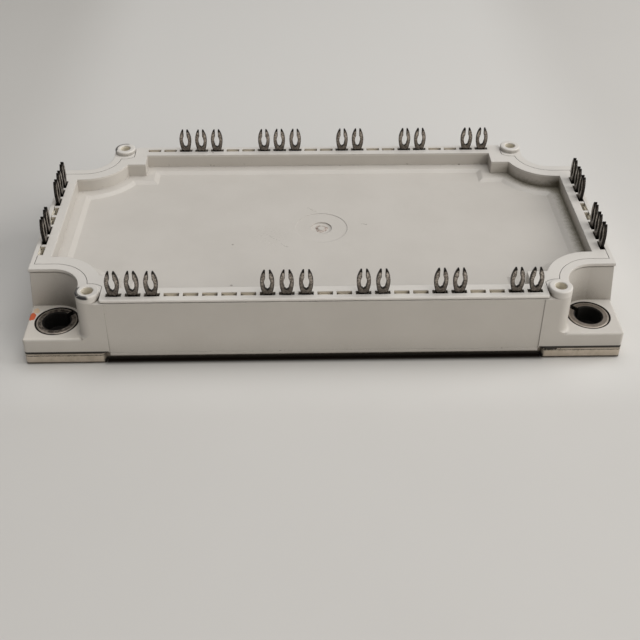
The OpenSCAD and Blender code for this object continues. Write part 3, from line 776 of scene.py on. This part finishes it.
@dataclass(frozen=True)
class SteelFinish:
    """Rolled and plated steel of the bushes, with painted shadow in the bore and round the sides.
    """

    name: str = "bush_steel"
    colour: Colour = (0.27, 0.235, 0.205)
    shade: Colour = (0.1944, 0.1692, 0.1476)
    bright: Colour = (0.60, 0.54, 0.47)
    # Near black, for dark patches and for the painted shadow inside.
    dark: Colour = (0.003, 0.0025, 0.002)
    grain: Pair = (7.0, 0.7)
    edge_r: float = 0.12 * MM
    metallic: Pair = (0.9, 0.15)
    gloss: Pair = (0.36, 0.86)
    specular: float = 0.2
    relief: float = 0.35
    top_z: float = 6.5
    bore_r: float = 2.75
    rim_r: float = 4.3
    centre: Pair = (55.0, 25.0)
    rings_each_mm: float = 9.0
    ring_depth: float = 0.12
    soil_share: float = 0.72
    lip_share: float = 0.55
    bright_share: float = 0.75
    dark_share: float = 0.98

    def build(self, effects: Effects) -> Material:
        """Builds the material.

        Args:
            effects: The shared node groups.

        Returns:
            The material.
        """
        g = Coat(self.name, effects, *self.grain)
        edge = g.edges(self.edge_r)
        x, _, z = g.parts(g.here)
        reach = g.radius(g.folded(g.here), self.centre)
        # Painted shadow: the bore, the sides below the top and the outer wall go near black.
        inside = g.most(g.below(reach, self.bore_r + 0.2, 0.22),
                        g.below(z, self.top_z - 0.3, 0.18),
                        g.times(g.above(reach, self.rim_r - 0.04, 0.12), 0.9))
        rings = g.math("SINE", g.times(reach, self.rings_each_mm, 2 * math.pi))
        g.colour = g.mix(g.mottle, self.colour, self.shade)
        patches = g.step(g.noise(g.here, 0.9, 3.0, 0.7), 0.62, 0.40)
        g.tint(self.dark, g.step(x, 1.0, -1.0), patches, self.soil_share)
        lip = g.band(reach, self.rim_r - 0.42, self.rim_r - 0.22, 0.08)
        g.tint(self.bright, g.most(g.times(lip, self.lip_share), edge), self.bright_share)
        g.tint(self.dark, inside, self.dark_share)
        relief = g.plus(g.height, g.times(rings, self.ring_depth))
        return g.done(relief, self.relief, Metallic=g.between(inside, *self.metallic),
                      Roughness=g.between(inside, *self.gloss), Specular_IOR_Level=self.specular)


@dataclass(frozen=True)
class PinFinish:
    """Tin-plated bronze strip, dull and darkened, with blackened tips and painted shade on the
    feet.
    """

    name: str = "pin_tin"
    colour: Colour = (0.20, 0.17, 0.147)
    bright: Colour = (0.66, 0.60, 0.53)
    dark: Colour = (0.005, 0.004, 0.003)
    grain: Pair = (9.0, 1.6)
    edge_r: float = 0.42 * MM
    metallic: float = 0.85
    gloss: Pair = (0.30, 0.48)
    relief: float = 0.5
    rim_z: float = 16.0
    tip_z: float = 21.7
    side_x: Pair = (57.0, 57.5)
    worn_share: Pair = (0.4, 0.85)
    mottle_share: float = 0.35
    edge_share: float = 0.96
    cut_share: float = 0.9
    lower_shade_share: float = 0.42
    end_share: float = 0.94

    def build(self, effects: Effects) -> Material:
        """Builds the material.

        Args:
            effects: The shared node groups.

        Returns:
            The material.
        """
        g = Coat(self.name, effects, *self.grain)
        edge = g.edges(self.edge_r)
        z = g.parts(g.here)[2]
        upper = g.step(z, self.tip_z - 3.4, self.tip_z - 1.8)
        worn = g.times(g.step(g.noise(g.here, 2.4, 3.0, 0.7), 0.40, 0.62),
                       g.between(upper, *self.worn_share))
        g.colour = g.mix(worn, self.colour, self.bright)
        g.tint(self.dark, g.mottle, self.mottle_share)
        g.tint(self.dark, edge, self.edge_share)
        turned = g.step(g.parts(g.folded(g.here))[0], *self.side_x)
        facing_x, facing_y, _ = g.parts(g.folded(g.normal("True Normal")))
        face = g.plus(g.times(facing_x, turned), g.times(facing_y, g.rest(turned)))
        g.tint(self.dark, g.step(face, 0.92, 0.55), self.cut_share)
        # Blackened tips, and painted shade on each pin's lower part, darkest where it enters the
        # slot.
        level = g.plus(z, g.times(g.sway(g.here, 2.0, 2.0), 0.8))
        base = g.step(level, self.rim_z + 3.0, self.rim_z + 0.9)
        ends = g.most(g.step(level, self.tip_z - 0.75, self.tip_z - 0.3),
                      g.step(level, self.rim_z + 0.5, self.rim_z + 0.1),
                      g.times(base, self.lower_shade_share))
        g.tint(self.dark, ends, self.end_share)
        return g.done(g.height, self.relief, Metallic=self.metallic,
                      Roughness=g.between(g.mottle, *self.gloss))


@dataclass(frozen=True)
class PlainFinish:
    """A part that the lid hides, with the grain that its material has."""

    name: str
    colour: Colour
    shade: Colour
    metallic: float = 0.0
    roughness: float = 0.5
    fine: float = 6.0
    coarse: float = 0.5
    opacity: float = 1.0
    duller: float = 0.12
    relief: float = 0.3

    def build(self, effects: Effects) -> Material:
        """Builds the material.

        Args:
            effects: The shared node groups.

        Returns:
            The material.
        """
        g = Coat(self.name, effects, self.fine, self.coarse)
        g.colour = g.mix(g.mottle, self.colour, self.shade)
        rough = g.between(g.mottle, self.roughness, self.roughness + self.duller)
        return g.done(g.height, self.relief, Metallic=self.metallic, Roughness=rough,
                      Alpha=self.opacity)


@dataclass(frozen=True)
class FloorFinish:
    """Smooth pale table top, with painted light that makes it lighter towards the front right and
    in front of the module, and painted shadow under the module.
    """

    name: str = "pale_floor"
    far: Colour = (0.455, 0.442, 0.42)
    near: Colour = (0.595, 0.58, 0.558)
    mottled: Colour = (0.4, 0.38, 0.35)
    lifted: Colour = (0.72, 0.71, 0.69)
    shaded: Colour = (0.012, 0.008, 0.005)
    grain: Pair = (1.5, 0.02)
    roughness: float = 0.75
    specular: float = 0.2
    relief: float = 0.15
    step_depth: float = 0.04 * MM
    shade_to: Pair = (44.3, 30.2)
    mottle_share: float = 0.04
    front_light_share: float = 0.45

    def build(self, effects: Effects) -> Material:
        """Builds the material.

        Args:
            effects: The shared node groups.

        Returns:
            The material.
        """
        g = Coat(self.name, effects, *self.grain)
        x, y, _ = g.parts(g.here)
        away_x, away_y, _ = g.parts(g.folded(g.here))
        # Painted light: the floor grows lighter towards the front right.
        along = g.math("SUBTRACT", g.times(x, 0.7), y)
        g.colour = g.mix(g.step(along, -420.0, 150.0), self.far, self.near)
        g.tint(self.mottled, g.mottle, self.mottle_share)
        # Painted light: a lighter patch on the floor in front of the module.
        g.tint(self.lifted, g.step(y, -48.0, -34.0), g.step(away_x, 90.0, 55.0), self.front_light_share)
        g.tint(self.shaded, g.below(away_y, self.shade_to[1], 1.5),
               g.below(away_x, self.shade_to[0], 1.2))
        return g.done(g.height, self.relief, self.step_depth, Roughness=self.roughness,
                      Specular_IOR_Level=self.specular)


# Mesh helpers


def dress(names: Sequence[str], material: Material) -> None:
    """Gives CAD nodes one material.

    Args:
        names: The nodes.
        material: The material.
    """
    for name in names:
        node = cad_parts[name]
        node.data.materials.clear()
        node.data.materials.append(material)
        log.info("%s: %s", name, material.name)


def settle(piece: Piece, replaced: Sequence[str] = ()) -> None:
    """Rides a finished piece on the module.

    Args:
        piece: The piece.
        replaced: CAD nodes that the piece stands for.
    """
    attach(piece, BODY)
    if replaced:
        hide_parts(*replaced)
    log.info("%s: %d faces", piece.name, len(piece.data.polygons))


def new_object(name: str, data: bpy.types.ID) -> Piece:
    """Links a new object at the origin.

    Args:
        name: Its name.
        data: Its mesh, lamp or camera data.

    Returns:
        The object.
    """
    made = bpy.data.objects.new(name, data)
    bpy.context.scene.collection.objects.link(made)
    return made


# Sub-assemblies


@dataclass
class Body:
    """Base plate, frame, lid and bushes, whose shapes come from the frame of the part."""

    effects: Effects
    corners: tuple[str, ...] = ("front_left", "front_right", "back_right", "back_left")

    def build(self) -> None:
        """Dresses the nodes."""
        dress(["base_plate"], PlateFinish().build(self.effects))
        dress(["housing"], FrameMoulding("frame_plastic").build(self.effects))
        dress(["lid"], LidMoulding("lid_plastic").build(self.effects))
        dress([f"bush_{corner}" for corner in self.corners], SteelFinish().build(self.effects))


@dataclass
class SprueScar:
    """Torn stub of the sprue in the dimple of the moulding mark."""

    effects: Effects
    radius: float = 1.45 * MM
    height: float = 0.17 * MM
    rings: int = 9
    spokes: int = 36
    lift: float = 0.7
    mark_r: float = 2.2 * MM

    def build(self) -> None:
        """Builds the stub and dresses it."""
        floor_z = self._floor_z()
        bm = bmesh.new()
        centre = bm.verts.new((0.0, 0.0, floor_z + self.height * self.lift))
        loops = []
        for ring in range(1, self.rings + 1):
            share = ring / self.rings
            loop = []
            for spoke in range(self.spokes):
                turn = 2 * math.pi * spoke / self.spokes
                ragged = 1 + 0.10 * math.sin(3 * turn + 1) + 0.06 * math.sin(7 * turn)
                lump = 0.55 + 0.30 * math.sin(9 * share + 4 * turn) * math.cos(5 * turn)
                top_highlight = (1 - share ** 3) * lump if ring < self.rings else -0.15
                reach = self.radius * share * ragged
                loop.append(bm.verts.new((reach * math.cos(turn), reach * math.sin(turn),
                                          floor_z + self.height * top_highlight)))
            loops.append(loop)
        for n in range(self.spokes):
            m = (n + 1) % self.spokes
            bm.faces.new((centre, loops[0][n], loops[0][m]))
            for inner, outer in zip(loops, loops[1:]):
                bm.faces.new((inner[n], outer[n], outer[m], inner[m]))
        mesh = bpy.data.meshes.new("sprue_scar")
        bm.to_mesh(mesh)
        bm.free()
        mesh.shade_smooth()
        scar = new_object("sprue_scar", mesh)
        finish = PlainFinish("torn_plastic", (0.60, 0.54, 0.49), (0.17, 0.115, 0.09),
                             roughness=0.6, fine=5.0, coarse=2.2)
        mesh.materials.append(finish.build(self.effects))
        settle(scar)

    def _floor_z(self) -> float:
        """Finds the dimple's bottom: the lowest face that looks up inside the mark.

        Returns:
            Its height.
        """
        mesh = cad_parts["lid"].data
        found = [p.center.z for p in mesh.polygons
                 if p.normal.z > 0.9 and p.center.xy.length < self.mark_r]
        return min(found)


@dataclass
class PinRows:
    """Press-fit pins, copied to every place that a pin node has, with softened edges."""

    effects: Effects
    edge: float = 0.05 * MM
    edge_steps: int = 2
    merge: float = 1e-6
    flat_angle: float = math.radians(0.5)
    sharp_angle: float = math.radians(40)
    crease_angle: float = math.radians(50)
    tip_length: float = 4 * MM
    lean: float = math.radians(0.175)
    seed: int = 7
    counts: dict[Side, int] = field(default_factory=lambda: {
        Side.FRONT: 12, Side.RIGHT: 6, Side.BACK: 12, Side.LEFT: 5})

    def build(self) -> None:
        """Builds the pins of the long and of the short sides."""
        finish = PinFinish().build(self.effects)
        tree = self._tree()
        for sides, name in (((Side.FRONT, Side.BACK), "long"), ((Side.RIGHT, Side.LEFT), "short")):
            pattern = self._pattern(sides[0])
            piece = self._row(f"press_fit_pins_{name}", sides, pattern, tree, finish)
            nodes = [n for side in sides for n in self._nodes(side)]
            settle(piece, nodes)
            bpy.data.objects.remove(pattern)

    def _nodes(self, side: Side) -> list[str]:
        """Names of the pin nodes on one side."""
        return [f"pin_{side.name.lower()}_{n + 1:02d}" for n in range(self.counts[side])]

    def _foot(self, name: str) -> Vector:
        """Middle of a pin, at the height of the plate's underside.

        Args:
            name: The pin's node.

        Returns:
            The place.
        """
        points = [v.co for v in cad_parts[name].data.vertices]
        high = max(v.z for v in points)
        upper = [v for v in points if v.z > high - self.tip_length]
        low = Vector((min(v.x for v in upper), min(v.y for v in upper), 0.0))
        far = Vector((max(v.x for v in upper), max(v.y for v in upper), 0.0))
        return (low + far) / 2

    def _pattern(self, side: Side) -> Piece:
        """Copies one pin to the origin, unturned, and rounds its edges.

        Args:
            side: The side whose first pin is copied.

        Returns:
            The pattern pin.
        """
        name = self._nodes(side)[0]
        bm = bmesh.new()
        bm.from_mesh(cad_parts[name].data)
        bmesh.ops.translate(bm, verts=bm.verts, vec=-self._foot(name))
        bmesh.ops.rotate(bm, verts=bm.verts, matrix=Matrix.Rotation(
            -math.radians(side.value), 3, "Z"))
        bmesh.ops.remove_doubles(bm, verts=bm.verts, dist=self.merge)
        bmesh.ops.dissolve_limit(bm, angle_limit=self.flat_angle, verts=bm.verts, edges=bm.edges)
        sharp = [e for e in bm.edges
                 if len(e.link_faces) == 2 and e.calc_face_angle(0.0) > self.sharp_angle]
        bmesh.ops.bevel(bm, geom=sharp, offset=self.edge, segments=self.edge_steps,
                        profile=0.5, affect="EDGES", clamp_overlap=True)
        bmesh.ops.recalc_face_normals(bm, faces=bm.faces)
        mesh = bpy.data.meshes.new("pin_pattern")
        bm.to_mesh(mesh)
        bm.free()
        mesh.shade_smooth()
        mesh.set_sharp_from_angle(angle=self.crease_angle)
        return new_object("pin_pattern", mesh)

    def _tree(self) -> Tree:
        """Geometry nodes that stand a pin on every point, each with a slight lean.

        Returns:
            The tree.
        """
        tree, g, given, gives = new_group(
            "pin_rows", {"Geometry": "Geometry", "Pin": "Object", "Lean": "Float", "Seed": "Int",
                         "Finish": "Material"}, {"Geometry": "Geometry"}, "Geometry")
        pin = g.fill(g.add("GeometryNodeObjectInfo", transform_space="ORIGINAL"), given["Pin"])
        turn = g.add("GeometryNodeInputNamedAttribute", data_type="FLOAT_VECTOR")
        lean = g.add("FunctionNodeRandomValue", data_type="FLOAT_VECTOR")
        g.fill(turn, "turn")
        g.fill(lean, g.times(given["Lean"], -1.0), given["Lean"], Seed=given["Seed"])
        angles = g.fill(g.add("FunctionNodeEulerToRotation"),
                        g.vector("ADD", turn.outputs[0], lean.outputs[0]))
        stand = g.fill(g.add("GeometryNodeInstanceOnPoints"), Points=given["Geometry"],
                       Instance=pin.outputs["Geometry"], Rotation=angles.outputs[0])
        real = g.fill(g.add("GeometryNodeRealizeInstances"), stand.outputs[0])
        paint = g.fill(g.add("GeometryNodeSetMaterial"), real.outputs[0], Material=given["Finish"])
        g.feed(gives[0], paint.outputs[0])
        return tree

    def _row(self, name: str, sides: Sequence[Side], pattern: Piece,
             tree: Tree, finish: Material) -> Piece:
        """Stands the pattern pin at every place of some sides.

        Args:
            name: The new piece's name.
            sides: The sides.
            pattern: The pattern pin.
            tree: The geometry nodes.
            finish: The pins' material.

        Returns:
            The piece, as a plain mesh.
        """
        places = [(self._foot(node), side) for side in sides for node in self._nodes(side)]
        points = bpy.data.meshes.new(name + "_places")
        points.from_pydata([tuple(place) for place, _ in places], [], [])
        turns = points.attributes.new("turn", "FLOAT_VECTOR", "POINT")
        for n, (_, side) in enumerate(places):
            turns.data[n].vector = (0.0, 0.0, math.radians(side.value))
        holder = new_object(name + "_places", points)
        rows = holder.modifiers.new("rows", "NODES")
        rows.node_group = tree
        values = {"Pin": pattern, "Lean": self.lean, "Seed": self.seed, "Finish": finish}
        for socket in tree.interface.items_tree:
            if socket.in_out == "INPUT" and socket.name in values:
                rows[socket.identifier] = values[socket.name]
        depsgraph = bpy.context.evaluated_depsgraph_get()
        mesh = bpy.data.meshes.new_from_object(holder.evaluated_get(depsgraph),
                                               depsgraph=depsgraph)
        mesh.name = name
        bpy.data.objects.remove(holder)
        return new_object(name, mesh)


@dataclass
class PowerCircuit:
    """Substrates, chips, wires and gel under the lid."""

    effects: Effects
    places: tuple[str, ...] = ("left", "middle", "right")

    def build(self) -> None:
        """Dresses the hidden nodes."""
        finishes = {
            "solder": PlainFinish("solder", (0.50, 0.50, 0.51), (0.38, 0.38, 0.39), 0.9, 0.45),
            "copper": PlainFinish("copper", (0.72, 0.40, 0.26), (0.58, 0.30, 0.18), 0.9, 0.38),
            "ceramic": PlainFinish("ceramic", (0.82, 0.81, 0.77), (0.76, 0.74, 0.70), 0.0, 0.55),
            "chip": PlainFinish("chip_metal", (0.55, 0.57, 0.60), (0.42, 0.44, 0.47), 0.8, 0.22),
            "sensor": PlainFinish("sensor_body", (0.05, 0.055, 0.06), (0.03, 0.03, 0.035)),
            "wire": PlainFinish("bond_aluminium", (0.78, 0.79, 0.80), (0.66, 0.67, 0.68),
                                1.0, 0.3),
            "gel": PlainFinish("clear_gel", (0.80, 0.84, 0.86), (0.74, 0.79, 0.82), 0.0, 0.12,
                               opacity=0.35)}
        made = {name: finish.build(self.effects) for name, finish in finishes.items()}
        for place in self.places:
            dress([f"solder_{place}"], made["solder"])
            dress([f"back_copper_{place}", f"circuit_copper_{place}"], made["copper"])
            dress([f"ceramic_{place}"], made["ceramic"])
        dress(["igbt_chips", "diode_chips"], made["chip"])
        dress(["thermistor"], made["sensor"])
        dress(["bond_wires"], made["wire"])
        dress(["silicone_gel"], made["gel"])


@dataclass
class Lamp:
    """A soft square lamp that looks at the module."""

    name: str
    place: tuple[float, float, float]
    size: float
    power: float
    colour: Colour

    def build(self) -> None:
        """Hangs the lamp."""
        data = bpy.data.lights.new(self.name, "AREA")
        data.shape, data.size = "SQUARE", self.size
        data.energy, data.color = self.power, self.colour
        lamp = new_object(self.name, data)
        lamp.location = self.place
        lamp.rotation_euler = (-Vector(self.place)).to_track_quat("-Z", "Y").to_euler()


@dataclass
class Studio:
    """Camera, floor, backdrop and light."""

    effects: Effects
    sensor: float = 36.0
    lens: float = 57.07125
    lens_shift: float = -0.125
    near_and_far: Pair = (0.01, 20.0)
    camera_at: tuple[float, float, float] = (-0.005603, -0.188962, 0.138502)
    yaw: float = math.radians(1.614)
    pitch: float = math.radians(-34.429)
    roll: float = math.radians(0.365)
    floor_half: float = 1.2
    world_colour: Colour = (1.0, 0.96, 0.90)
    world_level: float = 0.07
    seen_colour: Colour = (0.52, 0.505, 0.48)
    lamps: tuple[Lamp, ...] = (
        Lamp("top_softbox", (0.10, 0.10, 1.00), 1.0, 6.9, (1.0, 1.0, 1.0)),
        Lamp("right_softbox", (0.95, 0.05, 0.60), 0.7, 6.4, (1.0, 0.99, 0.97)),
        Lamp("front_softbox", (0.70, -0.90, 0.45), 0.8, 5.2, (1.0, 0.95, 0.87)))

    def build(self) -> None:
        """Sets everything up."""
        self._camera()
        self._floor()
        self._world()
        for lamp in self.lamps:
            lamp.build()
        bpy.context.scene.view_settings.view_transform = "Standard"

    def _camera(self) -> None:
        """Places the camera."""
        data = bpy.data.cameras.new("camera")
        data.sensor_width = self.sensor
        data.lens = self.lens
        data.shift_y = self.lens_shift
        data.clip_start, data.clip_end = self.near_and_far
        ahead = Vector((math.sin(self.yaw) * math.cos(self.pitch),
                        math.cos(self.yaw) * math.cos(self.pitch), math.sin(self.pitch)))
        right = Vector((math.cos(self.yaw), -math.sin(self.yaw), 0.0))
        up = right.cross(ahead)
        turned = math.cos(self.roll) * right + math.sin(self.roll) * up
        lifted = math.cos(self.roll) * up - math.sin(self.roll) * right
        camera = new_object("camera", data)
        camera.matrix_world = Matrix.Translation(self.camera_at) @ Matrix(
            (turned, lifted, -ahead)).transposed().to_4x4()
        bpy.context.scene.camera = camera

    def _floor(self) -> None:
        """Lays the floor."""
        half = self.floor_half
        mesh = bpy.data.meshes.new("floor")
        mesh.from_pydata([(-half, -half, 0.0), (half, -half, 0.0), (half, half, 0.0),
                          (-half, half, 0.0)], [], [(0, 1, 2, 3)])
        mesh.materials.append(FloorFinish().build(self.effects))
        new_object("floor", mesh)

    def _world(self) -> None:
        """Sets an even light all round, and the pale backdrop that rays from the view see."""
        world = bpy.data.worlds.new("studio")
        world.use_nodes = True
        g = Graph(world.node_tree)
        background = world.node_tree.nodes["Background"]
        path = g.add("LightPath")
        seen = g.most(*(path.outputs[f"Is {kind} Ray"]
                        for kind in ("Camera", "Glossy", "Transmission")))
        g.fill(background, Color=g.mix(seen, self.world_colour, self.seen_colour),
               Strength=g.between(seen, self.world_level, 1.0))
        bpy.context.scene.world = world


def main() -> None:
    """Builds the whole scene in order."""
    logging.basicConfig(level=logging.INFO, format="%(name)s: %(message)s")
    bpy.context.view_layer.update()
    effects = Effects()
    Studio(effects).build()
    for assembly in (Body(effects), SprueScar(effects), PinRows(effects),
                     PowerCircuit(effects)):
        assembly.build()
        log.info("%s done", type(assembly).__name__)


if __name__ == "__main__":
    main()
